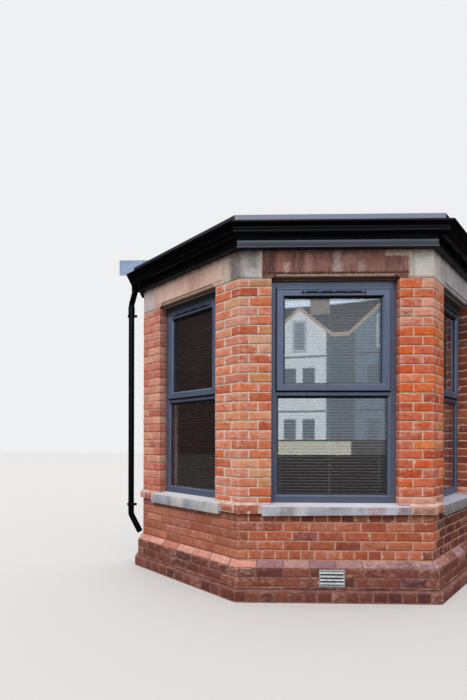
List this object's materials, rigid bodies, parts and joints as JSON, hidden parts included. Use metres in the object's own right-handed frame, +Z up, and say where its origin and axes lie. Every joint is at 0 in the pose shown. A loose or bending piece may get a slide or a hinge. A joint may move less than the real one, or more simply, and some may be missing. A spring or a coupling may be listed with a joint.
{
  "type": "canted bay window",
  "caption": "Single-storey canted brick bay with three grey framed windows, stone heads and sills, flat roof, ogee gutter and downpipe, open where it meets the house.",
  "frame": {"origin": "ground level, midway along the line where the bay meets the house wall", "axes": "+X along the house wall, +Y into the house, +Z up"},
  "size_m": [4.459, 1.412, 3.62],
  "materials": {
    "brick": "fired clay facing brick with pale mortar",
    "brick_plinth": "old pinkish brick, weathered",
    "sill_stone": "pale grey stone, lightly weathered",
    "stone_pink": "pinkish buff sandstone",
    "stone_red": "reddish brown sandstone, stained",
    "stone_grey": "pale grey sandstone",
    "stone_dark": "dark weathered sandstone",
    "plaster": "painted plaster",
    "floor_timber": "oiled floor boards",
    "painted_timber": "white painted timber",
    "window_grey": "satin slate grey window profile",
    "glass": "clear glass",
    "vent_black": "matt black",
    "vent_metal": "weathered pale cast metal",
    "blind_slats": "painted aluminium slats",
    "roof_timber": "sawn softwood",
    "roof_skin": "grey weathered roof membrane",
    "lead": "dull blue grey sheet",
    "eaves_board": "gloss painted board",
    "eaves_black": "gloss black coated sheet",
    "gutter_black": "gloss black coated"
  },
  "bodies": {
    "root": {"plinth_wall": "brick_plinth", "air_vent": "vent_metal", "plinth_splay": "brick_plinth", "apron_wall": "brick", "string_course": "brick", "sill_left": "sill_stone", "sill_front": "sill_stone", "sill_right": "sill_stone", "wall_pier_left": "brick", "wall_pier_right": "brick", "corner_pier_left": "brick", "corner_pier_right": "brick", "lintel_left": "stone_pink", "lintel_front": "stone_red", "lintel_right": "stone_grey", "corner_stone_left": "stone_dark", "corner_stone_right": "stone_grey", "end_stone_left": "stone_grey", "end_stone_right": "stone_grey", "wall_plaster": "plaster", "ceiling": "plaster", "bay_floor": "floor_timber", "window_boards": "painted_timber", "frame_left": "window_grey", "frame_front": "window_grey", "frame_right": "window_grey", "sash_left": "window_grey", "sash_front": "window_grey", "sash_right": "window_grey", "glazing_left": "glass", "glazing_front": "glass", "glazing_right": "glass", "trickle_vents": "vent_black", "blind_left": "blind_slats", "blind_front": "blind_slats", "blind_right": "blind_slats", "roof_frame": "roof_timber", "roof_deck": "roof_timber", "roof_covering": "roof_skin", "lead_flashing": "lead", "bed_mould": "eaves_board", "fascia_soffit": "eaves_black", "gutter_left": "gutter_black", "gutter_front": "gutter_black", "gutter_right": "gutter_black", "swan_neck": "gutter_black", "downpipe": "gutter_black", "pipe_shoe": "gutter_black", "pipe_brackets": "gutter_black"}
  },
  "joints": []
}
